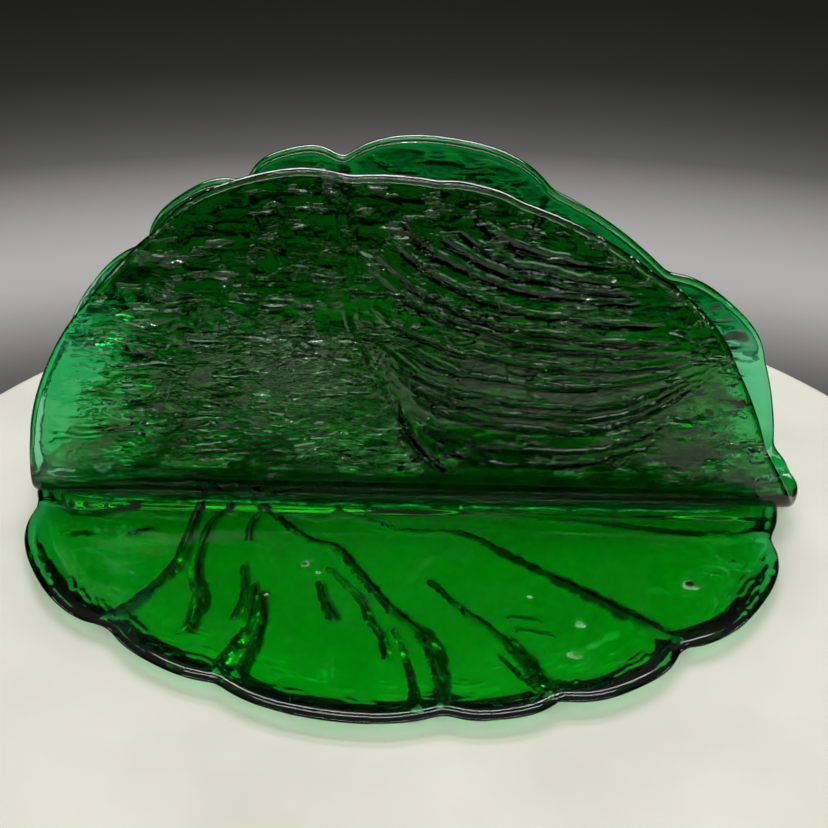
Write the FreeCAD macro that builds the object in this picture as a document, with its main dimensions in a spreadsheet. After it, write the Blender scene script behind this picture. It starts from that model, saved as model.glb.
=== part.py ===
"""Leaf flower holder in green glass: a round leaf lying flat, and a second leaf of the same size
folded upwards into two standing walls with a slot between them.

Row frame: origin on the table, under the middle of the whole holder. +X runs along the fold, to the
right for someone in front of the holder, -Y points to that person, and +Z is up. Millimetres.

Two glass leaves and the two beads of glass that weld them together:
  base_leaf        lies flat, its lobed rim lifted off the table, its veins pressed in as grooves
  folded_leaf      front wall, fold and rear wall in one bent sheet
  front_fuse_seam  bead along the front foot of the fold
  rear_fuse_seam   bead along the rear foot of the fold
"""

import FreeCAD, Part
import math
import os

from FreeCAD import Placement, Rotation, Vector

PLAIN_CELLS = [
    ("leaf_radius", 83.0),  # both leaves, from the middle of the fold
    ("base_thick", 4.7),
    ("rim_lift", 1.2),  # how far the lobed rim stands off the table
    ("rim_round", 1.6),
    ("vein_depth", 1.1),
    ("wall_thick", 4.2),
    ("fold_round", 5.0),  # outer radius of each corner of the fold
    ("fold_land", 6.4),  # width of the flat under the fold
    ("front_lean", 7.0),  # degrees that each wall leans back
    ("rear_lean", 11.0),
    ("wall_reach", 96.0),  # blank wall height, before the outline is cut
    ("blank_half", 92.0),  # half the blank's length along the fold
    ("tip_right", 89.0),  # where the fold ends
    ("tip_left", 82.5),
    ("tip_height", 9.0),  # the fold's ends are upright up to here
    ("rib_height", 0.6),
    ("seam_half", 76.0),  # half of each bead's length
    ("seam_gap", 2.0),  # from the land's edge to the back of the bead
    ("seam_foot", 5.3),  # from the land's edge to the front of the bead
    ("seam_climb", 72.0),  # degrees up the fold's corner that the bead reaches
    ("centre_shift", -3.0),  # brings the middle of the fold's length over the origin
    ("fold_shift", -2.4),  # the fold stands this far from the base leaf's middle, to the front
    ("leaf_turn", -3.9),  # degrees by which the base leaf is turned against the fold
]

# A leaf's rim runs from notch to notch. Each row is a notch: its direction in degrees, its radius
# and the radius of the lobe that follows it, both as shares of leaf_radius.
BASE_LOBES = [
    (-168.0, 0.965, 0.995),
    (-134.0, 0.915, 0.930),
    (-112.5, 0.890, 0.922),
    (-77.5, 0.892, 0.932),
    (-60.5, 0.918, 0.970),
    (-38.5, 0.945, 1.028),
    (-8.0, 0.998, 1.020),
    (20.0, 0.975, 0.985),
    (47.0, 0.920, 0.945),
    (72.0, 0.895, 0.924),
    (98.0, 0.885, 0.924),
    (124.0, 0.905, 0.950),
    (150.0, 0.945, 0.985),
    (174.0, 0.970, 0.985),
]
# The walls' rims, from right to left over the top, measured along each wall from the fold.
FRONT_LOBES = [
    (6.7, 1.013, 0.977),
    (44.0, 0.954, 0.932),
    (96.0, 0.941, 0.999),
    (134.0, 0.990, 0.996),
    (170.0, 0.988, 0.0),
]
REAR_LOBES = [
    (7.1, 1.032, 1.037),
    (21.5, 1.046, 0.992),
    (41.7, 0.932, 0.922),
    (65.4, 0.923, 0.965),
    (99.6, 0.923, 0.969),
    (115.5, 0.931, 0.982),
    (134.5, 0.946, 0.988),
    (158.0, 0.971, 0.995),
    (170.0, 0.991, 0.0),
]
FOLD_RISE = 1.95  # the fold's centre line lies this far above the table along a wall
# The base leaf's edge from the foot up: heights, and sizes as shares of the rim's.
BASE_PROFILE = [
    ("0", 0.860),
    ("sizes.rim_lift", 0.985),
    ("sizes.rim_lift + 0.3 * sizes.rim_round", 0.996),
    ("sizes.base_thick - sizes.rim_round", 1.000),
    ("sizes.base_thick - 0.4 * sizes.rim_round", 0.994),
    ("sizes.base_thick", 0.980),
]

# Grooves of the base leaf: the points each one runs through, then its width at either end.
BASE_VEINS = [
    ([(-43, -12), (-43.5, -34), (-51, -54), (-56, -60)], 1.2, 2.8),
    ([(-38.5, -26), (-38.5, -38), (-36, -47), (-36.5, -58)], 1.0, 2.2),
    ([(-26.5, -40), (-25, -56), (-26, -69)], 0.9, 2.8),
    ([(-13, -33), (-4, -42), (1, -54), (4, -60)], 0.9, 1.8),
    ([(-30, -13), (-16, -25), (-3, -38), (10, -52), (16, -73)], 1.6, 3.0),
    ([(10, -35), (19, -45), (30, -56), (38.5, -69)], 1.4, 3.0),
    ([(4, -12), (17, -19.5), (29, -27), (45, -38), (63, -50)], 1.2, 3.0),
    ([(36, -12.2), (52, -12), (68, -12.6), (83, -12)], 0.9, 1.6),
    ([(-56, -14), (-67, -18.5), (-80, -17)], 0.9, 2.2),
    ([(20, 12), (48, 14), (78, 27)], 1.2, 2.4),
    ([(12, 14), (34, 34), (53, 57)], 1.2, 2.8),
    ([(5, 14), (15, 42), (22.5, 71)], 1.2, 2.8),
    ([(-3, 14), (-7, 44), (-10, 73)], 1.2, 2.8),
    ([(-10, 14), (-28, 38), (-42, 62)], 1.2, 2.8),
    ([(-18, 13), (-46, 26), (-68, 39)], 1.2, 2.6),
]
# The front wall's midrib and the ribs that sweep from it to the right, as (x, height) points.
MIDRIB = ([(-10.9, 76), (-10.6, 63), (-9.8, 51.5), (-5.6, 40.6), (-1.5, 32.3), (3.7, 21.9)], 1.6, 2.2)
# Each rib: where it starts, the height it sinks to, how quickly, how much it climbs again, its end.
RIBS = [
    (11.0, 71.5, 59.4, 12.0, 0.0, 48.0),
    (-1.0, 74.0, 55.1, 14.0, 0.5, 52.0),
    (-3.7, 71.3, 49.6, 16.0, 0.6, 56.0),
    (-7.0, 67.8, 45.3, 17.0, 1.5, 58.0),
    (-8.8, 65.3, 42.6, 18.0, 2.0, 60.0),
    (-6.0, 52.9, 38.0, 18.0, 5.0, 62.0),
    (-5.5, 48.6, 34.6, 14.0, 7.0, 63.0),
    (-5.1, 44.8, 30.0, 13.0, 9.0, 64.0),
    (-2.0, 39.4, 27.2, 12.0, 10.0, 64.0),
    (1.9, 34.3, 24.5, 10.0, 11.5, 65.0),
    (4.5, 26.1, 19.6, 9.0, 11.0, 60.0),
]
RIB_TURN, RIB_RUN = 34.0, 30.0  # where the ribs begin to climb, and over what length
RIB_POINTS = 7


def make_sheet(doc):
    """The driving dimensions, one per row, each with its alias."""
    sheet = doc.addObject("Spreadsheet::Sheet", "sizes")
    for row, (alias, value) in enumerate(PLAIN_CELLS, start=1):
        sheet.set(f"A{row}", alias)
        sheet.set(f"B{row}", str(value))
        sheet.setAlias(f"B{row}", alias)
    doc.recompute()
    return sheet


def new_body(doc, label, depth):
    """A body whose own origin is its leaf's middle, moved back by the cell that depth names."""
    body = doc.addObject("PartDesign::Body", label)
    body.Label = label
    body.setExpression("Placement.Base.x", "sizes.centre_shift")
    body.setExpression("Placement.Base.y", depth)
    return body


def new_sketch(body, name, role, height="0"):
    """An empty sketch on one of the body's own planes, raised by height along its normal."""
    sketch = body.newObject("Sketcher::SketchObject", name)
    plane = [f for f in body.Origin.OriginFeatures if f.Role == role][0]
    sketch.AttachmentSupport = [(plane, "")]
    sketch.MapMode = "FlatFace"
    if height != "0":
        sketch.setExpression("AttachmentOffset.Base.z", height)
    return sketch


def flat(x, y):
    return Vector(x, y, 0)


def polar(radius, degrees):
    return flat(radius * math.cos(math.radians(degrees)), radius * math.sin(math.radians(degrees)))


def spline(points):
    curve = Part.BSplineCurve()
    curve.interpolate(points)
    return curve


def lobed_rim(lobes, radius, place=flat):
    """A lobed rim, one arc from each notch over its lobe's crown to the next notch."""
    arcs = []
    for (angle, notch, crown), (next_angle, next_notch, _) in zip(lobes[:-1], lobes[1:]):
        through = [
            polar(radius * notch, angle),
            polar(radius * crown, (angle + next_angle) / 2),
            polar(radius * next_notch, next_angle),
        ]
        arcs.append(Part.Arc(*[place(point.x, point.y) for point in through]))
    return arcs


def band(points, start_width, end_width):
    """The closed outline of a vein or rib that runs through the points and widens evenly."""
    spine = spline([flat(*p) for p in points])
    first, last = spine.FirstParameter, spine.LastParameter
    steps = len(points) + 2
    sides = ([], [])
    for i in range(steps):
        share = i / (steps - 1)
        at = first + share * (last - first)
        here = spine.value(at)
        along = Vector(*spine.tangent(at)[0])
        across = flat(-along.y, along.x) * ((start_width + share * (end_width - start_width)) / 2)
        sides[0].append(here + across)
        sides[1].append(here - across)
    left, right = sides
    return [
        spline(left),
        Part.LineSegment(left[-1], right[-1]),
        spline(right[::-1]),
        Part.LineSegment(right[0], left[0]),
    ]


def add_ring(sketch, geometry):
    """Adds the pieces of a closed ring, which already meet end to end."""
    sketch.addGeometry(geometry, False)


def base_rim(sheet, share):
    first_angle, first_notch, _ = BASE_LOBES[0]
    return lobed_rim(BASE_LOBES + [(first_angle + 360, first_notch, 0.0)], sheet.leaf_radius * share)


def make_base_leaf(doc, sheet):
    """A flat foot flaring out to the rounded lobed rim, with the veins pressed into the underside."""
    body = new_body(doc, "base_leaf", "0")
    body.setExpression("Placement.Rotation.Angle", "sizes.leaf_turn")
    sections = []
    for number, (height, share) in enumerate(BASE_PROFILE):
        section = new_sketch(body, f"base_level_{number}", "XY_Plane", height)
        add_ring(section, base_rim(sheet, share))
        sections.append(section)
    doc.recompute()
    slab = body.newObject("PartDesign::AdditiveLoft", "base_slab")
    slab.Profile = sections[0]
    slab.Sections = sections[1:]
    slab.Ruled = True
    doc.recompute()

    for number, (points, start_width, end_width) in enumerate(BASE_VEINS, start=1):
        before = body.Shape.Volume
        outline = new_sketch(body, f"base_vein_outline_{number}", "XY_Plane")
        add_ring(outline, band(points, start_width, end_width))
        groove = body.newObject("PartDesign::Pocket", f"base_vein_{number}")
        groove.Profile = outline
        groove.Reversed = True
        groove.setExpression("Length", "sizes.vein_depth")
        doc.recompute()
        if not body.Shape.Volume < before:
            raise RuntimeError(f"groove {number} of the base leaf cuts nothing")
    return body


def corner_middle(sheet, side):
    """The middle of the fold's corner, in (y, z), on the front (-1) or rear (1) side."""
    return flat(side * sheet.fold_land / 2, sheet.base_thick + sheet.fold_round)


def wall_lean(sheet, side):
    return math.radians(sheet.front_lean if side < 0 else sheet.rear_lean)


def wall_foot(sheet, side, radius):
    """Where a wall's face leaves the corner of that radius, in (y, z)."""
    lean = wall_lean(sheet, side)
    across = flat(side * math.cos(lean), -side * math.sin(lean))
    return corner_middle(sheet, side) + across * radius


def fold_section(sheet):
    """The bent sheet's section in (y, z): front wall, two rounded corners on a flat land, rear wall."""
    outer = sheet.fold_round
    inner = outer - sheet.wall_thick

    def wall_top(side, radius):
        foot = wall_foot(sheet, side, radius)
        return foot + flat(math.tan(wall_lean(sheet, side)), 1) * (sheet.wall_reach - foot.y)

    def corner(side, radius):
        """The arc through the land's edge, the corner and the wall's foot."""
        middle = corner_middle(sheet, side)
        half = (math.pi / 2 - side * wall_lean(sheet, side)) / 2
        halfway = middle + flat(side * math.sin(half), -math.cos(half)) * radius
        return Part.Arc(middle + flat(0, -radius), halfway, wall_foot(sheet, side, radius))

    def land(radius):
        return [corner_middle(sheet, side) + flat(0, -radius) for side in (-1, 1)]

    return [
        Part.LineSegment(wall_top(-1, outer), wall_foot(sheet, -1, outer)),
        corner(-1, outer),
        Part.LineSegment(*land(outer)),
        corner(1, outer),
        Part.LineSegment(wall_foot(sheet, 1, outer), wall_top(1, outer)),
        Part.LineSegment(wall_top(1, outer), wall_top(1, inner)),
        Part.LineSegment(wall_top(1, inner), wall_foot(sheet, 1, inner)),
        corner(1, inner),
        Part.LineSegment(*land(inner)),
        corner(-1, inner),
        Part.LineSegment(wall_foot(sheet, -1, inner), wall_top(-1, inner)),
        Part.LineSegment(wall_top(-1, inner), wall_top(-1, outer)),
    ]


def keep_outline(sheet, rim):
    """A frame of waste around a wall's outline: what the frame covers is cut away."""
    right, left, shoulder = sheet.tip_right, -sheet.tip_left, sheet.tip_height
    wide, high, low = sheet.blank_half + 10, sheet.wall_reach + 10, -2.0
    box = [flat(-wide, low - 5), flat(wide, low - 5), flat(wide, high), flat(-wide, high)]
    start, end = rim[0].StartPoint, rim[-1].EndPoint
    inside = [
        Part.LineSegment(flat(left, low), flat(right, low)),
        Part.LineSegment(flat(right, low), flat(right, shoulder)),
        Part.LineSegment(flat(right, shoulder), start),
        *rim,
        Part.LineSegment(end, flat(left, shoulder)),
        Part.LineSegment(flat(left, shoulder), flat(left, low)),
    ]
    outside = [Part.LineSegment(box[i], box[(i + 1) % 4]) for i in range(4)]
    return outside, inside


def stood_up(sheet, side, x, along):
    """Where a place on the laid-out leaf comes in (x, z) once its wall stands and leans."""
    middle = sheet.base_thick + sheet.fold_round
    return flat(x, middle + (along + FOLD_RISE - middle) * math.cos(wall_lean(sheet, side)))


def rib_path(start_x, start_z, low_z, fall, climb, end_x):
    """One rib of the front wall: it leaves the midrib, sinks and climbs again towards the rim."""
    points = []
    for k in range(RIB_POINTS):
        x = start_x + (end_x - start_x) * k / (RIB_POINTS - 1)
        sink = (start_z - low_z) * math.exp(-(x - start_x) / fall)
        points.append((x, low_z + sink + climb * (max(x - RIB_TURN, 0) / RIB_RUN) ** 2))
    return points


def make_folded_leaf(doc, sheet):
    """A round leaf bent into a narrow U that stands on the base leaf."""
    body = new_body(doc, "folded_leaf", "sizes.fold_shift")
    section = new_sketch(body, "fold_section", "YZ_Plane")
    add_ring(section, fold_section(sheet))
    blank = body.newObject("PartDesign::Pad", "fold_blank")
    blank.Profile = section
    blank.SideType = "Symmetric"
    blank.setExpression("Length", "2 * sizes.blank_half")
    doc.recompute()

    for name, lobes, side in (("front", FRONT_LOBES, -1), ("rear", REAR_LOBES, 1)):
        rim = lobed_rim(lobes, sheet.leaf_radius, lambda x, along: stood_up(sheet, side, x, along))
        before = body.Shape.Volume
        outline = new_sketch(body, f"{name}_outline", "XZ_Plane")
        for ring in keep_outline(sheet, rim):
            add_ring(outline, ring)
        trim = body.newObject("PartDesign::Pocket", f"{name}_trim")
        trim.Profile = outline
        trim.Reversed = side < 0
        trim.setExpression("Length", "sizes.blank_half")
        doc.recompute()
        if not body.Shape.Volume < before:
            raise RuntimeError(f"the {name} outline cuts nothing")

    foot = wall_foot(sheet, -1, sheet.fold_round)
    ribs = [(rib_path(*rib), 1.0, 1.6) for rib in RIBS] + [MIDRIB]
    for number, (points, start_width, end_width) in enumerate(ribs):
        before = body.Shape.Volume
        outline = new_sketch(body, f"rib_outline_{number}", "XZ_Plane")
        outline.AttachmentOffset = Placement(
            Vector(0, foot.y, -foot.x), Rotation(Vector(1, 0, 0), -sheet.front_lean)
        )
        on_wall = [(x, z - foot.y) for x, z in points]
        add_ring(outline, band(on_wall, start_width, end_width))
        rib = body.newObject("PartDesign::Pad", f"rib_{number}")
        rib.Profile = outline
        rib.setExpression("Length", "sizes.rib_height")
        doc.recompute()
        if not body.Shape.Volume > before:
            raise RuntimeError(f"rib {number} adds nothing")
    return body


def make_seam(doc, sheet, label, side):
    """A bead between the base leaf's top and the fold's rounded corner, on one side of the fold."""
    radius, centre_z, floor = sheet.fold_round, sheet.base_thick + sheet.fold_round, sheet.base_thick
    land = sheet.fold_land / 2
    back_rise = math.asin(sheet.seam_gap / radius)
    front_rise = math.radians(sheet.seam_climb)

    def on_corner(rise):
        return flat(side * (land + radius * math.sin(rise)), centre_z - radius * math.cos(rise))

    back_foot = flat(side * (land + sheet.seam_gap), floor)
    back_top, front_top = on_corner(back_rise), on_corner(front_rise)
    front_foot = flat(side * (land + sheet.seam_foot), floor)
    hollow = (front_top + front_foot) * 0.5 - flat(side * 0.25, 0.1)
    corner_middle = on_corner((back_rise + front_rise) / 2)
    body = new_body(doc, label, "sizes.fold_shift")
    section = new_sketch(body, f"{label}_section", "YZ_Plane")
    add_ring(
        section,
        [
            Part.LineSegment(front_foot, back_foot),
            Part.LineSegment(back_foot, back_top),
            Part.Arc(back_top, corner_middle, front_top),
            Part.Arc(front_top, hollow, front_foot),
        ],
    )
    bead = body.newObject("PartDesign::Pad", f"{label}_bead")
    bead.Profile = section
    bead.SideType = "Symmetric"
    bead.setExpression("Length", "2 * sizes.seam_half")
    doc.recompute()
    return body


def check(doc, bodies):
    failed = [o.Label for o in doc.Objects if "Invalid" in o.State or "Error" in o.State]
    if failed:
        raise RuntimeError(f"objects that failed: {failed}")
    for body in bodies:
        if body.Shape.isNull() or not body.Shape.isValid():
            raise RuntimeError(f"{body.Label} has no valid shape")


def main():
    doc = FreeCAD.newDocument("leaf_holder")
    sheet = make_sheet(doc)
    bodies = [
        make_base_leaf(doc, sheet),
        make_folded_leaf(doc, sheet),
        make_seam(doc, sheet, "front_fuse_seam", -1),
        make_seam(doc, sheet, "rear_fuse_seam", 1),
    ]
    doc.recompute()
    check(doc, bodies)
    os.makedirs("parts", exist_ok=True)
    for body in bodies:
        body.Shape.exportStep(os.path.join("parts", f"{body.Label}.step"))
        box = body.Shape.BoundBox
        print(
            f"{body.Label}: {len(body.Shape.Solids)} solid, {body.Shape.Volume / 1000:.1f} cm3, "
            f"x {box.XMin:.1f} {box.XMax:.1f}, y {box.YMin:.1f} {box.YMax:.1f}, z {box.ZMin:.1f} {box.ZMax:.1f}"
        )


main()
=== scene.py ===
"""A holder of green glass made of two round lily-pad leaves: one lies flat, the other is folded up
into two walls that stand on it. Everything is in metres in the row frame; sizes of the leaf
relief are given in millimetres and turned into metres where the meshes are made.
"""

import bpy
import math
import numpy as np
from mathutils import Matrix, Vector


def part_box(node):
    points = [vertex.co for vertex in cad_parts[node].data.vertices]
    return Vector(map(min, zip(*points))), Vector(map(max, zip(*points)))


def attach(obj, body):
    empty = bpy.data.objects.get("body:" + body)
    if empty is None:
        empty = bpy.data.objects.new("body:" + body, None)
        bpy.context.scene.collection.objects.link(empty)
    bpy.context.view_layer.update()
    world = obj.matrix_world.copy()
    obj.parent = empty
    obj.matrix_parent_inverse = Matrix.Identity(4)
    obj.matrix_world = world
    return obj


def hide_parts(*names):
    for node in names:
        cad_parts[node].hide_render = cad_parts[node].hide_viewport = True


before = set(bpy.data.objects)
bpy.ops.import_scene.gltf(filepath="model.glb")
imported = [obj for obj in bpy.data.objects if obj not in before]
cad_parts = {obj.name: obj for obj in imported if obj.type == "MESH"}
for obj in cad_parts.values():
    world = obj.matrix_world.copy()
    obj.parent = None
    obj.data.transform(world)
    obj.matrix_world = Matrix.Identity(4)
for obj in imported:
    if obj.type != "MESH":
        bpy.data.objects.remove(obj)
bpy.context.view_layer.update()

MM = 0.001


def box_mm(node):
    """A CAD node's lowest and highest corner, in millimetres."""
    return [[c / MM for c in corner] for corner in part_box(node)]


BASE_BOX = box_mm("base_leaf")
SEAM_BOX = box_mm("front_fuse_seam")
REAR_SEAM_BOX = box_mm("rear_fuse_seam")

LEAF_X = -3.0  # the leaves' own centre, left of the middle of the fold
BASE_THICK = BASE_BOX[1][2]
RIM_LIFT = 2.5
WALL_THICK = 4.2
FOLD_ROUND = 5.0
FOLD_LAND = 6.4
FRONT_LEAN = math.radians(7.0)
REAR_LEAN = math.radians(11.0)
FOLD_Y = -2.4  # the fold stands a little in front of the base leaf's middle
BASE_TURN = math.radians(-3.9)
GLASS_GAP = 0.02  # keeps glass faces that meet from sharing one plane


# ---------------------------------------------------------------- noise and curves


class Noise:
    """Smooth random field in two directions, between -1 and 1, the same on every run."""

    def __init__(self, seed):
        self.grid = np.random.default_rng(seed).uniform(-1, 1, (256, 256))

    def __call__(self, u, v):
        iu, iv = np.floor(u).astype(int), np.floor(v).astype(int)
        fu, fv = u - iu, v - iv
        fu = fu * fu * fu * (fu * (6 * fu - 15) + 10)
        fv = fv * fv * fv * (fv * (6 * fv - 15) + 10)
        g = self.grid
        low = g[iu & 255, iv & 255] * (1 - fu) + g[(iu + 1) & 255, iv & 255] * fu
        high = g[iu & 255, (iv + 1) & 255] * (1 - fu) + g[(iu + 1) & 255, (iv + 1) & 255] * fu
        return low * (1 - fv) + high * fv


def ridged(noise, u, v):
    """Thin crests along the noise field's zero lines: 1 on the crest, less between."""
    return 1 - np.abs(noise(u, v))


def terraces(phase, steep):
    """A saw-tooth between 0 and 1 that climbs slowly and drops over the last steep share."""
    f = phase - np.floor(phase)
    return np.where(f < 1 - steep, f / (1 - steep), (1 - f) / steep)


def smooth(low, high, value):
    """0 below low, 1 above high, eased between."""
    t = np.clip((value - low) / (high - low), 0, 1)
    return t * t * (3 - 2 * t)


def near_line(x, y, points, start_width, end_width, wobble):
    """How far into a tapering, uneven line each place is: 1 on the line, 0 at its edge or beyond."""
    best = np.zeros_like(x)
    pts = np.array(rounded(points))
    lengths = np.hypot(*np.diff(pts, axis=0).T)
    total, done = lengths.sum(), 0.0
    reach = max(start_width, end_width)
    inside = (
        (x > pts[:, 0].min() - reach) & (x < pts[:, 0].max() + reach)
        & (y > pts[:, 1].min() - reach) & (y < pts[:, 1].max() + reach)
    )
    px, py = x[inside], y[inside]
    found = best[inside]
    bend = wobble(px / 5.0, py / 5.0) + 0.7 * wobble(px / 1.3, py / 1.3)
    for (ax, ay), (bx, by), length in zip(pts[:-1], pts[1:], lengths):
        ux, uy = (bx - ax) / length, (by - ay) / length
        along = np.clip((px - ax) * ux + (py - ay) * uy, 0, length)
        away = np.hypot(px - ax - along * ux, py - ay - along * uy)
        share = (done + along) / total
        half = 0.5 * (start_width + (end_width - start_width) * share) * (1 + 0.3 * bend)
        found = np.maximum(found, 1 - away / half)
        done += length
    best[inside] = np.clip(found, 0, 1)
    return best


def rounded(points, steps=5):
    """The points of a Catmull-Rom curve through the given ones."""
    pts = [np.array(p, float) for p in points]
    pts = [2 * pts[0] - pts[1]] + pts + [2 * pts[-1] - pts[-2]]
    out = []
    for a, b, c, d in zip(pts, pts[1:], pts[2:], pts[3:]):
        for k in range(steps):
            t = k / steps
            out.append(
                0.5 * (2 * b + (c - a) * t + (2 * a - 5 * b + 4 * c - d) * t * t
                       + (3 * b - a - 3 * c + d) * t ** 3)
            )
    out.append(pts[-2])
    return out


# ---------------------------------------------------------------- outlines

# A leaf's rim: each notch's direction in degrees, its radius and the radius of the lobe after it.
BASE_LOBES = [
    (-168.3, 80.4, 82.9),
    (-133.6, 76.2, 76.7),
    (-112.4, 74.0, 76.5),
    (-77.4, 74.1, 77.6),
    (-60.6, 76.2, 80.8),
    (-39.1, 78.6, 85.6),
    (-8.1, 83.0, 84.8),
    (20.0, 80.9, 81.8),
    (47.0, 76.4, 78.4),
    (72.0, 74.3, 76.8),
    (98.0, 73.6, 76.8),
    (124.0, 75.1, 78.9),
    (150.0, 78.4, 81.8),
    (174.0, 80.5, 81.9),
]
LOBE_FULLNESS = 3.2  # 2 makes a lobe a parabola, more makes it broader
# The folded leaf's rim laid out flat: front wall below 0 degrees, rear wall above.
FOLDED_LOBES = [
    (-178.5, 81.0, 81.6),
    (-167.0, 82.2, 82.9),
    (-143.0, 82.2, 82.3),
    (-127.0, 82.5, 83.2),
    (-97.5, 78.4, 78.0),
    (-84.0, 77.4, 78.0),
    (-71.5, 77.1, 77.6),
    (-47.0, 78.7, 80.9),
    (-28.0, 80.9, 81.3),
    (-13.7, 81.7, 84.3),
    (-3.5, 87.6, 89.2),
    (7.1, 85.4, 86.2),
    (21.5, 86.7, 84.9),
    (41.7, 77.3, 76.6),
    (65.4, 76.3, 80.5),
    (99.6, 76.3, 80.7),
    (115.5, 77.1, 81.7),
    (134.5, 78.2, 82.2),
    (157.0, 80.4, 82.6),
]


def full_turn(count):
    """Directions all round, from 0, in radians."""
    return np.linspace(0, 2 * math.pi, count + 1)[:-1]


def lobed_radius(lobes, angles, softness):
    """The rim's radius at each angle (degrees, rising over one turn), softened along the rim."""
    table = lobes + [(lobes[0][0] + 360, *lobes[0][1:])]
    radius = np.zeros_like(angles)
    shifted = (angles - lobes[0][0]) % 360 + lobes[0][0]
    for (start, notch, crown), (end, next_notch, _) in zip(table[:-1], table[1:]):
        here = (shifted >= start) & (shifted < end)
        u = (shifted[here] - start) / (end - start)
        plain = notch + (next_notch - notch) * u
        bulge = crown - (notch + next_notch) / 2
        radius[here] = plain + bulge * (1 - np.abs(2 * u - 1) ** LOBE_FULLNESS)
    step = 360 / len(angles)
    reach = int(4 * softness / step) + 1
    weights = np.exp(-0.5 * (np.arange(-reach, reach + 1) * step / softness) ** 2)
    weights /= weights.sum()
    wrapped = np.concatenate([radius[-reach:], radius, radius[:reach]])
    return np.convolve(wrapped, weights, "valid")


def rim_points(lobes, count, softness):
    """The rim as count points in the leaf's own plane, starting at the left."""
    angles = full_turn(count)
    radius = lobed_radius(lobes, np.degrees(angles) - 180.0, softness)
    turned = angles - math.pi
    return np.stack([radius * np.cos(turned), radius * np.sin(turned)], axis=1)


# ---------------------------------------------------------------- leaf meshes

RIM_STEPS = 15  # rings round the rim's edge, between the underside and the upper side


def ring_quads(ring_count, count):
    """The faces between rings of count points each, numbered ring after ring."""
    ring = np.arange(count)
    following = np.roll(ring, -1)
    return np.concatenate([
        np.stack([i * count + ring, (i + 1) * count + ring, (i + 1) * count + following,
                  i * count + following], axis=1)
        for i in range(ring_count - 1)
    ])


def end_fans(ring_count, count, first_tip, last_tip):
    """The triangles that close the first and the last ring, each round a point of its own."""
    ring = np.arange(count)
    following = np.roll(ring, -1)
    last = (ring_count - 1) * count
    return np.concatenate([
        np.stack([np.full(count, first_tip), ring, following], axis=1),
        np.stack([np.full(count, last_tip), last + following, last + ring], axis=1),
    ])


def rim_normals(rim):
    """The outline's outward direction at each of its points."""
    tangent = np.roll(rim, -1, axis=0) - np.roll(rim, 1, axis=0)
    tangent /= np.linalg.norm(tangent, axis=1)[:, None]
    return np.stack([tangent[:, 1], -tangent[:, 0]], axis=1)


def leaf_mesh(name, rim, edge, under_rings, upper_rings, roundness, under, upper, place, groove):
    """A closed sheet of glass: underside, rounded rim and upper side, in rings around one centre.

    rim is the outline in the sheet's own plane; under(x, s, share) and upper(x, s, share) give the
    two faces' heights, and place(x, s, height) puts a point of the sheet into the row frame.
    roundness shapes the rim below and above its middle: 1 is round, less is squarer, more is keener.
    groove(x, s) tells where the underside is cut so sharply that its faces stay flat.
    """
    outward = rim_normals(rim)
    inset = rim - outward * edge
    rings = []
    shares = np.linspace(0, 1, under_rings + 1)[1:]
    for share in shares:
        at = inset * share
        rings.append(place(at[:, 0], at[:, 1], under(at[:, 0], at[:, 1], share)))
    low = under(inset[:, 0], inset[:, 1], 1.0)
    high = upper(inset[:, 0], inset[:, 1], 1.0)
    for turn in np.linspace(-math.pi / 2, math.pi / 2, RIM_STEPS + 2)[1:-1]:
        shape = roundness[0] if turn < 0 else roundness[1]
        at = inset + outward * (edge * math.cos(turn) ** shape)
        lift = math.copysign(abs(math.sin(turn)) ** shape, turn)
        height = (low + high) / 2 + (high - low) / 2 * lift
        rings.append(place(at[:, 0], at[:, 1], height))
    for share in np.linspace(0, 1, upper_rings + 1)[:0:-1]:
        at = inset * share
        rings.append(place(at[:, 0], at[:, 1], upper(at[:, 0], at[:, 1], share)))
    zero = np.zeros(1)
    poles = [place(zero, zero, under(zero, zero, 0.0)), place(zero, zero, upper(zero, zero, 0.0))]
    verts = np.concatenate(rings + poles) * MM

    quads = ring_quads(len(rings), len(rim))
    first_pole = len(rings) * len(rim)
    fans = end_fans(len(rings), len(rim), first_pole, first_pole + 1)
    cut = np.concatenate([groove(rim[:, 0] * share, rim[:, 1] * share) for share in shares])
    cut = np.concatenate([cut, np.zeros(len(quads) - len(cut), bool)])
    return new_mesh(name, verts, quads, fans, cut)


def new_mesh(name, verts, quads, triangles, flat_quads=None):
    """An object from arrays, smooth but for the flat quads, with its normals turned outward."""
    mesh = bpy.data.meshes.new(name)
    loops = np.concatenate([quads.ravel(), triangles.ravel()]).astype(np.int32)
    starts = np.concatenate([
        np.arange(len(quads)) * 4,
        len(quads) * 4 + np.arange(len(triangles)) * 3,
    ]).astype(np.int32)
    mesh.vertices.add(len(verts))
    mesh.vertices.foreach_set("co", verts.ravel())
    mesh.loops.add(len(loops))
    mesh.loops.foreach_set("vertex_index", loops)
    mesh.polygons.add(len(starts))
    mesh.polygons.foreach_set("loop_start", starts)
    soft = np.ones(len(starts), bool)
    if flat_quads is not None:
        soft[:len(flat_quads)] = ~flat_quads
    mesh.polygons.foreach_set("use_smooth", soft)
    mesh.update(calc_edges=True)
    mesh.validate()
    obj = bpy.data.objects.new(name, mesh)
    bpy.context.scene.collection.objects.link(obj)
    if signed_volume(verts, quads, triangles) < 0:
        mesh.flip_normals()
    return obj


def signed_volume(verts, quads, triangles):
    """The closed mesh's volume, below 0 where its faces point inward."""
    corners = np.concatenate([quads[:, [0, 1, 2]], quads[:, [0, 2, 3]], triangles])
    a, b, c = verts[corners[:, 0]], verts[corners[:, 1]], verts[corners[:, 2]]
    return float(np.einsum("ij,ij->i", a, np.cross(b, c)).sum() / 6)


# ---------------------------------------------------------------- the flat leaf

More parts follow.
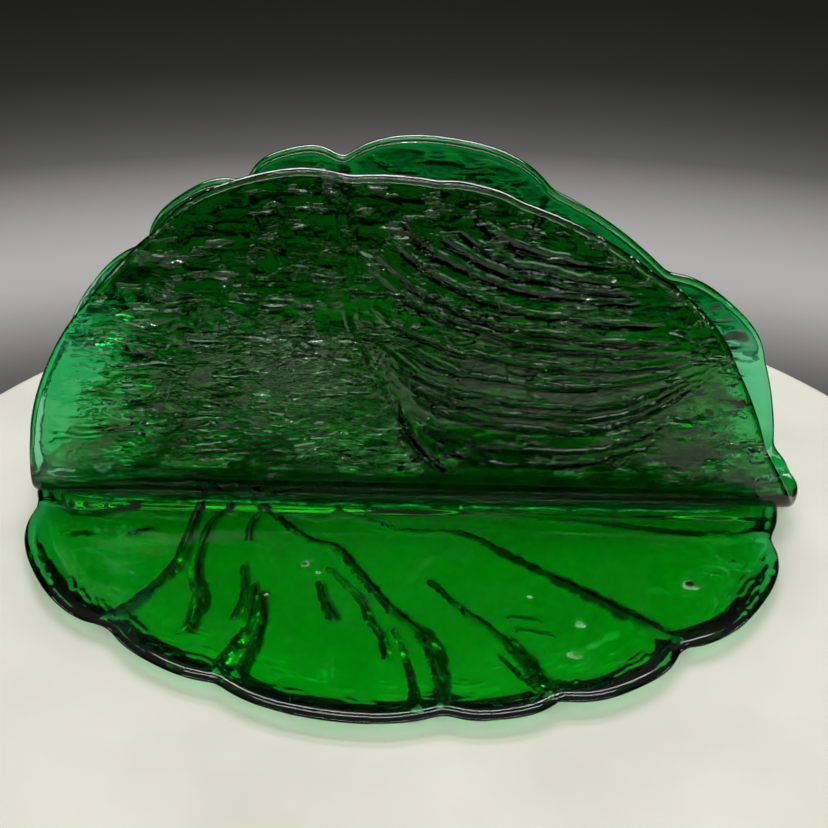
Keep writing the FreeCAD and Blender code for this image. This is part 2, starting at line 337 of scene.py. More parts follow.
# Veins pressed into the underside: points from the stem outward, then the width at either end.
BASE_VEINS = [
    ([(-42, -10), (-43, -20), (-43, -34), (-46, -44), (-51, -53), (-57, -58)], 1.0, 3.2),
    ([(-35, -11), (-39, -21), (-39, -37), (-36, -47), (-36.5, -57)], 0.9, 2.2),
    ([(-28, -12), (-30, -20), (-29.5, -26)], 0.8, 1.4),
    ([(-29, -35), (-27, -44), (-27.5, -52)], 0.8, 1.3),
    ([(-25.5, -41), (-24.6, -54), (-28, -68)], 0.9, 2.6),
    ([(-23.6, -44), (-22, -54), (-24, -68)], 1.2, 2.4),
    ([(-12, -39), (-10.5, -44), (-7.5, -50)], 1.2, 1.9),
    ([(-11, -34), (-3, -43), (-0.5, -49), (3, -55), (4.6, -60)], 1.0, 1.7),
    ([(-30, -10), (-23, -19), (-16, -25), (-10, -27), (-2, -38), (5, -47), (11, -53), (15, -63), (16, -73)],
     1.6, 2.8),
    ([(5, -52), (8, -59), (10, -66), (12, -74)], 0.8, 2.4),
    ([(11, -36), (19, -45), (30, -56), (37, -68)], 1.2, 3.0),
    ([(27, -58), (32, -64), (37, -69)], 0.7, 1.6),
    ([(-12, -12), (-4, -16), (4, -19), (16, -19), (28, -26), (45, -38), (61, -49), (64, -52)], 1.1, 3.0),
    ([(22, -10.5), (37, -12), (50, -12), (67, -13.5), (84, -13)], 0.9, 1.5),
    ([(-57, -15), (-63, -18), (-68, -19.5), (-80, -18)], 1.6, 2.0),
    ([(-52, -24), (-57, -27)], 0.8, 1.2),
    ([(-66, -27), (-70, -28)], 1.2, 1.0),
    ([(28, -46), (34, -46.5)], 0.6, 0.9),
    ([(30, -50), (37, -50.5)], 0.8, 0.6),
    ([(20, 10), (48, 14), (80, 29)], 1.0, 2.4),
    ([(12, 12), (34, 34), (55, 59)], 1.0, 2.8),
    ([(5, 12), (15, 42), (23.5, 73)], 1.0, 2.8),
    ([(-3, 12), (-7, 44), (-10.5, 75)], 1.0, 2.8),
    ([(-10, 12), (-28, 38), (-43, 63)], 1.0, 2.8),
    ([(-18, 11), (-46, 26), (-69, 40)], 1.0, 2.6),
]
VEIN_DEPTH = 1.7
VEIN_SPREAD = 1.25
VEIN_SHIFT = (-1.0, 3.5)  # from where they are listed; towards the fold only in the front half

broad, middle, fine, wander = Noise(3), Noise(5), Noise(8), Noise(13)


def base_relief(x, y):
    """Depth of the underside's veins and of the short wrinkles along the rim."""
    depth = np.zeros_like(x)
    for points, start_width, end_width in BASE_VEINS:
        moved = [
            (px + VEIN_SHIFT[0], py + (VEIN_SHIFT[1] if py < 0 else 0)) for px, py in points
        ]
        inside = near_line(x, y, moved, start_width * VEIN_SPREAD, end_width * VEIN_SPREAD, wander)
        depth = np.maximum(depth, VEIN_DEPTH * inside * min(1.0, start_width + end_width - 0.6))
    return depth


FLARE_START = 0.92  # share of the radius where the underside begins to lift off the table
STREAK_HEIGHT, STREAK_PITCH = 0.26, 1.5


def base_under(x, y, share):
    """The flat leaf's underside: flat foot, lifted rim, streaks along the rim, and the veins."""
    radius = np.hypot(x, y)
    past_start = np.clip(np.full_like(x, share) - FLARE_START, 0, 1)
    flare = RIM_LIFT * (past_start / (1 - FLARE_START)) ** 1.5
    swirl = 1.2 * broad(x / 15, y / 15) + 0.5 * middle(x / 4, y / 4)
    streaks = STREAK_HEIGHT * terraces(radius / STREAK_PITCH + swirl, 0.3)
    streaks = streaks * smooth(0.80, 0.92, share + 0.05 * middle(x / 9 + 5, y / 9))
    streaks = streaks * smooth(0.0, 0.4, fine(np.arctan2(y, x) * 14, radius / STREAK_PITCH))
    return flare + streaks + base_relief(x, y) * smooth(1.02, 0.97, share)


# Small raised beads on the base leaf's top: where, and how wide.
BEADS = [
    (30.9, -36.9, 0.7),
    (63.9, -29.2, 1.2),
    (40.2, -53.3, 0.8),
    (41.1, -44.3, 0.7),
    (-16.7, -31.1, 1.0),
    (-13.5, -33.5, 0.7),
    (-23.0, -42.0, 0.6),
]
BEAD_RISE = 0.75  # a bead's height over its width
RIM_ROLL = 0.45  # how far the top rises near the rim
TOP_SLACK = 0.8  # room left above the top for its waves, the roll and the beads


def base_upper(x, y, share):
    """The flat leaf's top: slow waves, a raised rim, beads, and a level strip under the fold."""
    pillow = 0.9 * broad(x / 24 + 9, y / 18) + 0.12 * middle(x / 8, y / 8)
    rim_roll = RIM_ROLL * smooth(0.90, 0.98, share)
    across = x * math.sin(BASE_TURN) + y * math.cos(BASE_TURN) - FOLD_Y
    fold_edge = FOLD_LAND / 2 + FOLD_ROUND
    under_fold = smooth(fold_edge + 2, fold_edge, np.abs(across))
    height = BASE_THICK - TOP_SLACK + pillow * 0.55 * smooth(1.0, 0.85, share) + rim_roll
    for bead_x, bead_y, size in BEADS:
        away = ((x - bead_x) ** 2 * 0.5 + (y - bead_y) ** 2) / size ** 2
        height = height + BEAD_RISE * size * np.exp(-away)
    return height * (1 - under_fold) + (BASE_THICK - GLASS_GAP) * under_fold


def place_flat(x, s, height):
    """Turns the base leaf against the fold and sets it on the table."""
    sin, cos = math.sin(BASE_TURN), math.cos(BASE_TURN)
    return np.stack([x * cos - s * sin + LEAF_X, x * sin + s * cos, height], axis=1)


# ---------------------------------------------------------------- the folded leaf

CORNER_Y = FOLD_LAND / 2
CORNER_Z = BASE_THICK + FOLD_ROUND
MID_ROUND = FOLD_ROUND - WALL_THICK / 2
FRONT_ARC = MID_ROUND * (math.pi / 2 + FRONT_LEAN)
REAR_ARC = MID_ROUND * (math.pi / 2 - REAR_LEAN)


def place_folded(x, s, height):
    """Bends the sheet into front wall, corner, land, corner and rear wall; height is inward."""
    across = np.abs(s)
    arc = np.where(s < 0, FRONT_ARC, REAR_ARC)
    turn = np.clip((across - CORNER_Y) / MID_ROUND, 0, arc / MID_ROUND)
    rise = np.maximum(across - CORNER_Y - arc, 0)
    reach = np.minimum(across, CORNER_Y) + MID_ROUND * np.sin(turn) + rise * np.cos(turn)
    z = CORNER_Z - MID_ROUND * np.cos(turn) + rise * np.sin(turn)
    reach = reach - height * np.sin(turn)
    z = z + height * np.cos(turn)
    return np.stack([x + LEAF_X, np.where(s < 0, -reach, reach) + FOLD_Y, z], axis=1)


MIDRIB = [(-10.9, 80), (-10.8, 71.4), (-9.8, 51.5), (-5.6, 40.6), (-1.5, 32.3), (3.7, 21.9), (9.9, 14.8)]
# Ribs of the front wall: where each starts, the height it sinks to, how quickly, how much it
# climbs again towards the rim, and where it ends.
RIBS = [
    (14.0, 75.0, 62.2, 12.0, 0.0, 45.0),
    (11.0, 71.5, 59.4, 12.0, 0.0, 48.0),
    (7.0, 70.5, 57.3, 13.0, 0.0, 50.0),
    (-1.0, 74.0, 55.0, 14.0, 0.5, 52.0),
    (-3.7, 71.3, 49.6, 16.0, 0.6, 56.0),
    (-7.0, 67.8, 45.0, 17.0, 1.5, 58.0),
    (-8.8, 65.3, 42.4, 18.0, 2.0, 60.0),
    (-6.0, 52.9, 38.0, 18.0, 5.0, 62.0),
    (-5.5, 48.6, 34.4, 14.0, 7.0, 63.0),
    (-5.1, 44.8, 29.8, 13.0, 9.0, 64.0),
    (-2.0, 39.4, 27.2, 12.0, 10.0, 64.0),
    (1.9, 34.3, 24.5, 10.0, 11.5, 66.0),
    (4.5, 26.1, 19.6, 9.0, 11.0, 60.0),
    (8.0, 20.5, 16.2, 8.0, 12.0, 56.0),
]
RIB_TURN, RIB_RUN = 34.0, 30.0
RIB_HEIGHT, RIB_ABOVE, RIB_BELOW = 0.30, 0.52, 1.1
# Veins of the rear wall's outer face, from the fold to the rim's notches.
REAR_VEINS = [
    ([(30, 12), (54, 20), (82, 32)], 1.0, 2.2),
    ([(16, 13), (38, 32), (58, 52)], 1.0, 2.4),
    ([(6, 14), (19, 42), (31.5, 70)], 1.0, 2.4),
    ([(-2, 14), (-8, 46), (-12.8, 76)], 1.0, 2.6),
    ([(-8, 14), (-21, 44), (-33.3, 70)], 1.0, 2.4),
    ([(-14, 13), (-36, 36), (-55, 56)], 1.0, 2.4),
    ([(-24, 12), (-50, 22), (-74, 34)], 1.0, 2.4),
]
WALL_FOOT = 1.95  # a height on the wall less this is the distance along the sheet
RIPPLE_HEIGHT, RIPPLE_PITCH, RIPPLE_STEEP = 0.24, 2.3, 0.32
KNOT_HEIGHT = 0.28
SWEPT_HEIGHT, SWEPT_PITCH = 0.05, 1.5
MIDRIB_RIDGE, MIDRIB_SINK = 0.28, 0.32
REAR_GROOVE, REAR_BARK = 1.4, 0.45
THINNED = 3.2  # glass missing from the inner face where the walls are thinnest


def rib_height(x, z):
    """The swept ribs, each steep on its upper side and drawn out below."""
    ribs = np.zeros_like(x)
    shake = 0.5 * wander(x / 6, z / 6) + 0.22 * middle(x / 1.6, z / 3)
    beads = 0.95 + 0.1 * fine(x / 1.7, z / 1.7)
    for start_x, start_z, low_z, fall, climb, end_x in RIBS:
        run = x - start_x
        line = low_z + (start_z - low_z) * np.exp(-np.maximum(run, 0) / fall)
        line = line + climb * (np.maximum(x - RIB_TURN, 0) / RIB_RUN) ** 2
        slope = (start_z - low_z) / fall * np.exp(-np.maximum(run, 0) / fall)
        away = (z - line + shake) / np.sqrt(1 + slope * slope)
        side = np.where(away > 0, RIB_ABOVE, RIB_BELOW)
        crest = np.clip(1 - np.abs(away) / side, 0, 1)
        ends = smooth(0, 3, run) * smooth(end_x + 4, end_x - 12, x)
        ribs = np.maximum(ribs, RIB_HEIGHT * beads * crest * ends)
    return ribs


def front_relief(x, z):
    """How far the front wall's outer face stands out: midrib, ribs and bark-like ripples."""
    mid_x = np.interp(z, [p[1] for p in MIDRIB][::-1], [p[0] for p in MIDRIB][::-1])
    right = smooth(0.0, 3.0, x - mid_x)
    left = smooth(-0.5, -2.5, x - mid_x)
    calm = smooth(12.0, 15.0, z + 0.04 * x)

    wave = 0.8 * broad(x / 14, z / 6) + 0.45 * middle(x / 4.5, z / 2.4) + 0.2 * fine(x / 1.8, z / 1.3)
    broken = smooth(-0.15, 0.30, fine(x / 4.2 + 9, z / 1.6) + 0.5 * wander(x / 1.9, z / 1.1))
    dense = smooth(46, 30, z + 0.2 * x + 5 * broad(x / 12 + 30, z / 12))
    upper = smooth(70, 60, z) * smooth(0.30, 0.55, middle(x / 7 + 12, z / 6))
    cover = np.maximum(dense, 0.75 * upper)
    ripples = RIPPLE_HEIGHT * terraces(z / RIPPLE_PITCH + wave, RIPPLE_STEEP) * broken * cover
    ripples = ripples * (1 - 0.55 * thin_patch(x, z))

    knots = ridged(wander, (x + 4 * wave) / 2.8 + 20, (z + 3 * wave) / 1.6)
    knot_height = KNOT_HEIGHT * smooth(0.84, 0.97, knots)
    knot_height = knot_height * smooth(0.05, 0.45, middle(x / 5 + 70, z / 3.5))
    knot_height = knot_height * smooth(76, 66, z)

    climb = smooth(62, 30, z) * (np.maximum(x - RIB_TURN, 0) / RIB_RUN) ** 2
    along = z - 19 * np.exp(-np.clip(x + 6, 0, 90) / 14) - 11 * climb
    swept = SWEPT_HEIGHT * terraces(along / SWEPT_PITCH + 0.5 * wave, 0.35)
    swept = swept * smooth(0.1, 0.5, fine(x / 6 + 5, along / SWEPT_PITCH))
    swept = swept * smooth(58, 48, x + 0.1 * z)

    midrib = near_line(x, z, MIDRIB, 2.2, 2.6, wander)
    ridge = near_line(x + 1.5, z, MIDRIB, 0.9, 1.4, wander)
    out = left * (ripples + knot_height) + right * (rib_height(x, z) + swept + 0.35 * knot_height)
    return calm * (out * (1 - midrib) + MIDRIB_RIDGE * ridge - MIDRIB_SINK * midrib)


def rear_relief(x, z):
    """The rear wall's outer face: grooves that run out to the rim's notches, and fine bark."""
    depth = np.zeros_like(x)
    for points, start_width, end_width in REAR_VEINS:
        inside = near_line(x, z, points, start_width, end_width, wander)
        depth = np.maximum(depth, REAR_GROOVE * inside)
    warp = 2.5 * middle(x / 13 + 30, z / 8)
    bark = ridged(fine, (x + warp) / 7 + 30, z / 1.6) + 0.5 * ridged(middle, x / 3.5, z / 1.1)
    return REAR_BARK * smooth(0.85, 1.45, bark) * smooth(11, 16, z) - depth * smooth(50, 62, z)


def folded_under(x, s, share):
    """The outer face: it carries the relief of both walls."""
    z = np.abs(s) + WALL_FOOT
    rim_calm = smooth(1.0, 0.93, share)
    front = front_relief(x, z)
    rear = rear_relief(x, z)
    sag = 0.25 * broad(x / 30, s / 24)
    wall = smooth(9, 14, z)
    relief = np.where(s < 0, front, rear) * rim_calm
    return -WALL_THICK / 2 - (relief + sag) * wall


def folded_upper(x, s, share):
    """The inner face: smooth, with the slow waves of fire-polished glass."""
    z = np.abs(s) + WALL_FOOT
    wave = 0.22 * broad(x / 24 + 5, s / 19 + 60) * smooth(9, 14, np.abs(s))
    return WALL_THICK / 2 + wave - THINNED * thin_patch(x, z)


def thin_patch(x, z):
    """1 where the walls were pressed thin: towards the left and the right end of the fold."""
    ragged = 5 * middle(x / 9 + 3, z / 5) + 2 * fine(x / 3, z / 2)
    left = smooth(27, 11, np.hypot(x + 75 + ragged, (z - 32) * 0.7))
    right = smooth(16, 5, np.hypot(x - 78 + ragged, (z - 26) * 0.6))
    return np.maximum(left, 0.8 * right)


# ---------------------------------------------------------------- the fused seams

SEAM_COLUMNS, SEAM_STEPS = 240, 8
SEAM_TOP = math.radians(72.0)  # how far round the fold's corner a full bead climbs
SEAM_SINK = (0.14, 0.105)  # how far its face is hollowed, inward and down


def seam_section(near, far, floor, full):
    """The bead's outline across the fold: foot, hollow face, and back along the fold's corner."""
    foot = near + (far - near) * max(full, 0.05)
    rise = SEAM_TOP * max(full, 0.6) ** 0.4
    back_rise = math.asin((near - CORNER_Y) / FOLD_ROUND)
    top = corner_point(rise)
    section = [(near, floor + GLASS_GAP), (foot, floor + GLASS_GAP)]
    for k in range(1, SEAM_STEPS):
        t = k / SEAM_STEPS
        sink = math.sin(math.pi * t)
        section.append((
            foot + (top[0] - foot) * t - SEAM_SINK[0] * sink,
            floor + GLASS_GAP + (top[1] - floor) * t - SEAM_SINK[1] * sink,
        ))
    section.append(top)
    for k in range(1, SEAM_STEPS + 1):
        section.append(corner_point(rise + (back_rise - rise) * k / SEAM_STEPS))
    return section


def seam_mesh(name, node_box, side):
    """A bead with a hollow face, following the fold's corner, thinning out towards its ends."""
    (x0, y0, z0), (x1, y1, _) = node_box
    near, far = sorted((abs(y0 - FOLD_Y), abs(y1 - FOLD_Y)))
    rings = []
    for i, x in enumerate(np.linspace(x0, x1, SEAM_COLUMNS)):
        share = i / (SEAM_COLUMNS - 1)
        full = min(1.0, 12 * share, 12 * (1 - share)) ** 0.5
        full *= 0.82 + 0.16 * float(middle(np.array(x / 5.0), np.array(side * 3.0)))
        section = seam_section(near, far, z0, full)
        rings.append([(x, side * y + FOLD_Y, z) for y, z in section])
    count = len(rings[0])
    verts = np.array(rings).reshape(-1, 3) * MM
    last = (SEAM_COLUMNS - 1) * count
    caps = np.array(
        [[0, k + 1, k] for k in range(1, count - 1)]
        + [[last, last + k, last + k + 1] for k in range(1, count - 1)]
    )
    return new_mesh(name, verts, ring_quads(SEAM_COLUMNS, count), caps)


def corner_point(rise):
    """A point on the fold's outer corner, given its angle from straight down."""
    reach = FOLD_ROUND + GLASS_GAP
    return (CORNER_Y + reach * math.sin(rise), CORNER_Z - reach * math.cos(rise))


# ---------------------------------------------------------------- materials

# How the glass takes up light: the density is per metre, and a channel nearer 1 is clearer.
GLASS_DENSITY = 1300.0
BASE_GREEN = (0.005, 0.952, 0.53, 1.0)
# The walls are the same glass as the base leaf, made darker here: painted shade on the walls.
WALL_GREEN_PAINTED_SHADE = (0.005, 0.818, 0.46, 1.0)
# The seam beads are the same glass too, made darker still: painted shade along the joints where the walls
# meet the base.
SEAM_GREEN_PAINTED_SHADE = (0.002, 0.62, 0.35, 1.0)


def node(tree, kind, **values):
    """A new node with these input values or settings."""
    made = tree.nodes.new(kind)
    for key, value in values.items():
        if key in made.inputs:
            made.inputs[key].default_value = value
        else:
            setattr(made, key, value)
    return made


def calc(tree, operation, first, second=0.0):
    """A math node's result; each operand is a number or another node's output."""
    made = tree.nodes.new("ShaderNodeMath")
    made.operation = operation
    for socket, value in zip(made.inputs, (first, second)):
        if isinstance(value, (int, float)):
            socket.default_value = value
        else:
            tree.links.new(value, socket)
    return made.outputs[0]


def eased(tree, value, low, high):
    """0 below low and 1 above high, or the other way round if low is the larger."""
    made = tree.nodes.new("ShaderNodeMapRange")
    made.interpolation_type = "SMOOTHSTEP"
    made.inputs["From Min"].default_value = low
    made.inputs["From Max"].default_value = high
    tree.links.new(value, made.inputs["Value"])
    return made.outputs["Result"]


def stretched_noise(tree, vector, scale, stretch, detail):
    """A noise texture's value, drawn out along the axes whose stretch is small."""
    spread = tree.nodes.new("ShaderNodeVectorMath")
    spread.operation = "MULTIPLY"
    spread.inputs[1].default_value = stretch
    tree.links.new(vector, spread.inputs[0])
    noise = node(tree, "ShaderNodeTexNoise", Scale=scale, Detail=detail)
    tree.links.new(spread.outputs[0], noise.inputs["Vector"])
    return noise.outputs["Fac"]


BARK_PITCH, BARK_STEEP, BARK_HEIGHT = 1.4 * MM, 0.34, 0.27 * MM
OUTER_FACE = -11.9 * MM  # where the front wall's outer face would meet the table


def bark(tree, vector):
    """Fine ragged steps on the front wall's outer face, dense to the left of the midrib and low."""
    split = tree.nodes.new("ShaderNodeSeparateXYZ")
    tree.links.new(vector, split.inputs[0])
    x, y, z = split.outputs
    slow = stretched_noise(tree, vector, 70.0, (1.0, 0.3, 1.8), 2.0)
    quick = stretched_noise(tree, vector, 330.0, (1.0, 0.3, 2.0), 2.0)
    bend = calc(tree, "ADD", calc(tree, "MULTIPLY", slow, 4.0), calc(tree, "MULTIPLY", quick, 0.45))
    phase = calc(tree, "FRACT", calc(tree, "ADD", calc(tree, "DIVIDE", z, BARK_PITCH), bend))
    climb = calc(tree, "DIVIDE", phase, 1 - BARK_STEEP)
    drop = calc(tree, "DIVIDE", calc(tree, "SUBTRACT", 1.0, phase), BARK_STEEP)
    step = calc(tree, "MINIMUM", climb, drop)

    middle_x = calc(tree, "ADD", calc(tree, "MULTIPLY", z, -0.3), 9.0 * MM)
    from_middle = calc(tree, "SUBTRACT", x, middle_x)
    left = eased(tree, from_middle, -1.0 * MM, -3.0 * MM)
    low = eased(tree, calc(tree, "ADD", z, calc(tree, "MULTIPLY", x, 0.2)), 56 * MM, 34 * MM)
    patches = stretched_noise(tree, vector, 150.0, (1.0, 0.3, 2.2), 3.0)
    wanted = calc(tree, "MULTIPLY", calc(tree, "MULTIPLY", left, low), 0.08)
    shown = eased(tree, calc(tree, "ADD", patches, wanted), 0.55, 0.62)
    foot = eased(tree, z, 11.5 * MM, 15.0 * MM)
    outer_plane = calc(tree, "ADD", calc(tree, "MULTIPLY", z, math.tan(FRONT_LEAN)), OUTER_FACE)
    outer = eased(tree, calc(tree, "SUBTRACT", y, outer_plane), 3.2 * MM, 2.0 * MM)
    end = eased(tree, x, -76 * MM, -60 * MM)
    mask = calc(tree, "MULTIPLY", calc(tree, "MULTIPLY", shown, foot), calc(tree, "MULTIPLY", outer, end))
    return calc(tree, "MULTIPLY", step, mask)


def dusty_roughness(tree, vector, highest):
    """Glossy, with duller spots up to the highest roughness where dust lies."""
    dust = node(tree, "ShaderNodeTexNoise", Scale=260.0, Detail=3.0)
    tree.links.new(vector, dust.inputs["Vector"])
    spread = node(tree, "ShaderNodeMapRange")
    for limit, value in (("From Min", 0.45), ("From Max", 0.8), ("To Min", 0.004), ("To Max", highest)):
        spread.inputs[limit].default_value = value
    tree.links.new(dust.outputs["Fac"], spread.inputs["Value"])
    return spread.outputs["Result"]


def glass_material(name, colour, bump_size, bump_strength, rough_high, barked=False):
    """Clear green glass with faint dust and micro-waviness left by the mould."""
    material = bpy.data.materials.new(name)
    material.use_nodes = True
    tree = material.node_tree
    tree.nodes.clear()
    out = node(tree, "ShaderNodeOutputMaterial")
    shader = node(tree, "ShaderNodeBsdfPrincipled")
    shader.inputs["Base Color"].default_value = (0.97, 1.0, 0.98, 1)
    shader.inputs["Transmission Weight"].default_value = 1.0
    shader.inputs["IOR"].default_value = 1.5
    tree.links.new(shader.outputs[0], out.inputs["Surface"])

    absorb = node(tree, "ShaderNodeVolumeAbsorption", Color=colour, Density=GLASS_DENSITY)
    tree.links.new(absorb.outputs[0], out.inputs["Volume"])

    place = node(tree, "ShaderNodeTexCoord")
    roughness = dusty_roughness(tree, place.outputs["Object"], rough_high)
    tree.links.new(roughness, shader.inputs["Roughness"])

    waves = node(tree, "ShaderNodeTexNoise", Scale=bump_size, Detail=4.0)
    tree.links.new(place.outputs["Object"], waves.inputs["Vector"])
    bump = node(tree, "ShaderNodeBump", Strength=bump_strength, Distance=0.4 * MM)
    tree.links.new(waves.outputs["Fac"], bump.inputs["Height"])
    tree.links.new(bump.outputs["Normal"], shader.inputs["Normal"])
    if barked:
        steps = node(tree, "ShaderNodeBump", Strength=1.0, Distance=BARK_HEIGHT)
        tree.links.new(bark(tree, place.outputs["Object"]), steps.inputs["Height"])
        tree.links.new(steps.outputs["Normal"], bump.inputs["Normal"])
    return material


def table_material():
    """Off-white worn turntable: soft mottling and a slight sheen."""
    material = bpy.data.materials.new("table_white")
    material.use_nodes = True
    tree = material.node_tree
    shader = tree.nodes["Principled BSDF"]
    place = node(tree, "ShaderNodeTexCoord")
    mottle = node(tree, "ShaderNodeTexNoise", Scale=22.0, Detail=5.0)
    tree.links.new(place.outputs["Object"], mottle.inputs["Vector"])
    ramp = node(tree, "ShaderNodeValToRGB")
    ramp.color_ramp.elements[0].position = 0.3
    ramp.color_ramp.elements[0].color = (0.72, 0.71, 0.61, 1)
    ramp.color_ramp.elements[1].position = 0.7
    ramp.color_ramp.elements[1].color = (0.84, 0.83, 0.725, 1)
    tree.links.new(mottle.outputs["Fac"], ramp.inputs["Fac"])
    tree.links.new(ramp.outputs["Color"], shader.inputs["Base Color"])
    shader.inputs["Roughness"].default_value = 0.55
    shader.inputs["Specular IOR Level"].default_value = 0.3
    return material


# ---------------------------------------------------------------- build the object

VEIN_EDGE = 0.12  # deeper than this, the base leaf's underside is cut by a vein
RIB_EDGE = 0.06  # higher than this, the front wall's right part is rib


def on_vein(x, s):
    return base_relief(x, s) > VEIN_EDGE


def on_rib(x, s):
    return (s < 0) & (x > 0) & (np.abs(front_relief(x, WALL_FOOT - s)) > RIB_EDGE)


base = leaf_mesh(
    "base_leaf_glass",
    rim_points(BASE_LOBES, 1200, 1.0),
    edge=2.2,
    under_rings=190,
    upper_rings=140,
    roundness=(1.5, 1.0),
    under=base_under,
    upper=base_upper,
    place=place_flat,
    groove=on_vein,
)
folded = leaf_mesh(
    "folded_leaf_glass",
    rim_points(FOLDED_LOBES, 1500, 0.7),
    edge=1.9,
    under_rings=300,
    upper_rings=60,
    roundness=(0.75, 0.75),
    under=folded_under,
    upper=folded_upper,
    place=place_folded,
    groove=on_rib,
)
front_seam = seam_mesh("front_fuse_seam_glass", SEAM_BOX, -1)
rear_seam = seam_mesh("rear_fuse_seam_glass", REAR_SEAM_BOX, 1)

base_glass = glass_material("green_glass_base", BASE_GREEN, 90.0, 0.05, 0.02)
# the walls' glass is a darker copy of the base's glass: painted shade
shaded_wall_glass = glass_material("green_glass_wall", WALL_GREEN_PAINTED_SHADE, 420.0, 0.15, 0.03, barked=True)
# the seams' glass is a darker copy of the same glass: painted shade along the joints
shaded_seam_glass = glass_material("green_glass_seam", SEAM_GREEN_PAINTED_SHADE, 500.0, 0.5, 0.03)

for piece, cad_node, slot_name, glass in (
    (base, "base_leaf", "green_glass_base", base_glass),
    (folded, "folded_leaf", "green_glass_wall", shaded_wall_glass),
    (front_seam, "front_fuse_seam", "green_glass_seam", shaded_seam_glass),
    (rear_seam, "rear_fuse_seam", "green_glass_seam", shaded_seam_glass),
):
    piece.data.materials.append(glass)
    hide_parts(cad_node)
    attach(piece, "root")

# ---------------------------------------------------------------- floor, light and camera

TABLE_RADIUS = 129.0
TABLE_CENTRE = (2.5, -29.0)
TABLE_DROP = 0.15  # air between the table and the leaf's foot
# The table's section: share of the radius and height of each ring, from the middle outward.
TABLE_PROFILE = [(0.55, 0.0), (0.985, 0.0), (0.996, -0.5), (1.0, -1.6), (1.0, -14.0)]


def table_disc():
    """A round pale table with a softly rounded edge."""
    count = 256
    turn = full_turn(count)
    rings = [
        np.stack([TABLE_CENTRE[0] + TABLE_RADIUS * share * np.cos(turn),
                  TABLE_CENTRE[1] + TABLE_RADIUS * share * np.sin(turn),
                  np.full(count, drop - TABLE_DROP)], axis=1)
        for share, drop in TABLE_PROFILE
    ]
    centre = np.array([[TABLE_CENTRE[0], TABLE_CENTRE[1], -TABLE_DROP]])
    bottom = np.array([[TABLE_CENTRE[0], TABLE_CENTRE[1], TABLE_PROFILE[-1][1] - TABLE_DROP]])
    verts = np.concatenate(rings + [centre, bottom]) * MM
    quads = ring_quads(len(rings), count)
    fans = end_fans(len(rings), count, len(rings) * count, len(rings) * count + 1)
    return new_mesh("table", verts, quads, fans)


table = table_disc()
table.data.materials.append(table_material())


# The backdrop: elevation in degrees and grey level.
BACKDROP = [
    (-90, 0.03),
    (-31.5, 0.09),
    (-30.3, 0.13),
    (-29.0, 0.26),
    (-27.6, 0.42),
    (-26.5, 0.43),
    (-25.3, 0.36),
    (-24.2, 0.25),
    (-23.0, 0.11),
    (-21.7, 0.06),
    (-20.0, 0.025),
    (-17.5, 0.014),
    (0, 0.006),
    (36, 0.008),
    (46, 0.18),
    (90, 0.22),
]


def world_light():
    """Soft light from above; below the horizon a dim backdrop with one paler band."""
    world = bpy.data.worlds.new("studio")
    bpy.context.scene.world = world
    world.use_nodes = True
    tree = world.node_tree
    tree.nodes.clear()
    place = node(tree, "ShaderNodeTexCoord")
    split = node(tree, "ShaderNodeSeparateXYZ")
    tree.links.new(place.outputs["Generated"], split.inputs[0])
    spread = node(tree, "ShaderNodeMapRange")
    spread.inputs["From Min"].default_value = -1.0
    spread.inputs["From Max"].default_value = 1.0
    tree.links.new(split.outputs["Z"], spread.inputs["Value"])
    ramp = node(tree, "ShaderNodeValToRGB")
    tree.links.new(spread.outputs["Result"], ramp.inputs["Fac"])
    elements = ramp.color_ramp.elements
    for i, (elevation, level) in enumerate(BACKDROP):
        position = (math.sin(math.radians(elevation)) + 1) / 2
        if i < 2:
            element = elements[i]
            element.position = position
        else:
            element = elements.new(position)
        element.color = (level, level * 0.99, level * 0.96, 1)
    back = node(tree, "ShaderNodeBackground")
    tree.links.new(ramp.outputs["Color"], back.inputs["Color"])
    out = node(tree, "ShaderNodeOutputWorld")
    tree.links.new(back.outputs[0], out.inputs["Surface"])


LAMP_AIM = Vector((0, 0, 30.0)) * MM


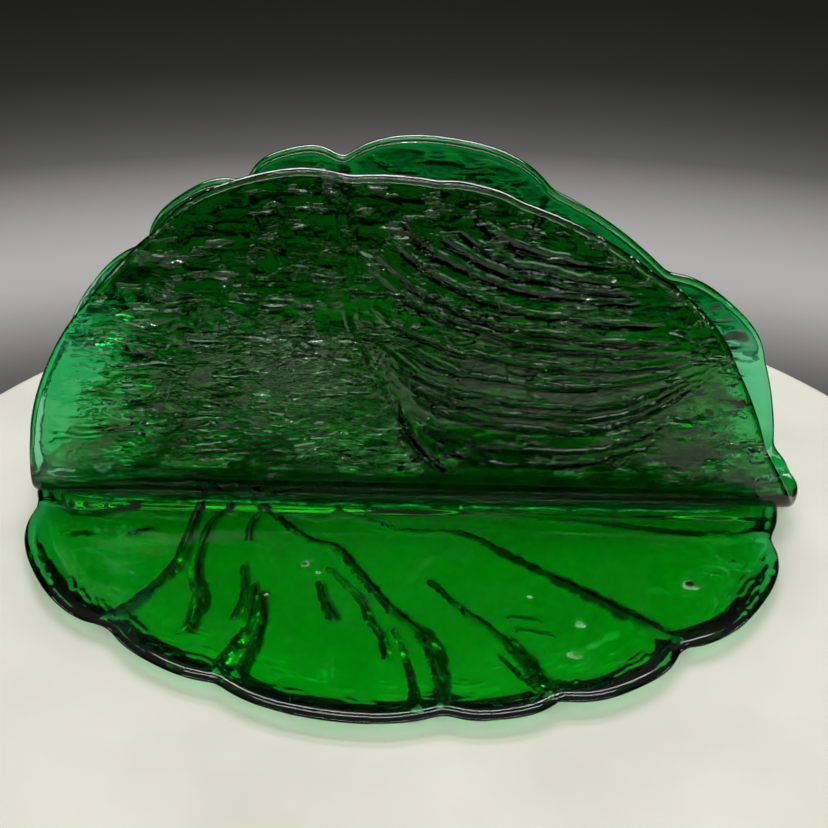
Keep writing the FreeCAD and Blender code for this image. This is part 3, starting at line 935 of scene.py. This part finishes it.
def soft_box(name, azimuth, elevation, distance, size, radiance):
    """A rectangular lamp aimed at the walls; azimuth 0 is in front, turning to the right."""
    light = bpy.data.lights.new(name, "AREA")
    light.shape = "RECTANGLE"
    light.size, light.size_y = size
    light.energy = radiance * math.pi * size[0] * size[1]
    lamp = bpy.data.objects.new(name, light)
    bpy.context.scene.collection.objects.link(lamp)
    a, e = math.radians(azimuth), math.radians(elevation)
    away = Vector((math.sin(a) * math.cos(e), -math.cos(a) * math.cos(e), math.sin(e)))
    lamp.location = LAMP_AIM + away * distance
    lamp.rotation_euler = away.to_track_quat("Z", "Y").to_euler()
    lamp.visible_camera = False


world_light()
soft_box("front_softbox", 0, 38.0, 1.2, (2.3, 0.28), 4.6)
soft_box("overhead_key", 178, 76, 1.1, (0.90, 0.14), 7.0)
soft_box("rear_strip", 180, 57, 1.1, (0.80, 0.10), 9.0)
soft_box("rear_low", 180, 16, 1.1, (1.0, 0.30), 5.0)
soft_box("right_strip", 84, 24, 1.1, (0.50, 0.12), 6.0)
soft_box("left_strip", -86, 24, 1.1, (0.50, 0.12), 4.0)
soft_box("front_glint", -5, 38, 1.1, (0.03, 0.03), 900.0)

CAMERA_TURN, CAMERA_RISE, CAMERA_ROLL = math.radians(1.17), math.radians(33.0), math.radians(0.62)
CAMERA_AWAY = 319.6 * MM
CAMERA_AIM = Vector((0.5, -9.9, 29.05)) * MM
LENS = 65.2


def aim_camera():
    """Sets the camera on its sphere round the aim, turned, raised and rolled."""
    camera_data = bpy.data.cameras.new("camera")
    camera_data.lens = LENS
    camera_data.sensor_width = 36.0
    camera_data.clip_start = 0.01
    camera = bpy.data.objects.new("camera", camera_data)
    bpy.context.scene.collection.objects.link(camera)
    backward = Vector((
        math.sin(CAMERA_TURN) * math.cos(CAMERA_RISE),
        -math.cos(CAMERA_TURN) * math.cos(CAMERA_RISE),
        math.sin(CAMERA_RISE),
    ))
    rightward = Vector((math.cos(CAMERA_TURN), math.sin(CAMERA_TURN), 0))
    upward = backward.cross(rightward)
    rolled_right = rightward * math.cos(CAMERA_ROLL) + upward * math.sin(CAMERA_ROLL)
    rolled_up = upward * math.cos(CAMERA_ROLL) - rightward * math.sin(CAMERA_ROLL)
    pose = Matrix((rolled_right, rolled_up, backward)).transposed().to_4x4()
    pose.translation = CAMERA_AIM + backward * CAMERA_AWAY
    camera.matrix_world = pose
    bpy.context.scene.camera = camera


aim_camera()
bpy.context.scene.view_settings.view_transform = "Standard"
bpy.context.scene.cycles.transparent_max_bounces = 16
bpy.context.scene.cycles.max_bounces = 24
bpy.context.scene.cycles.transmission_bounces = 20
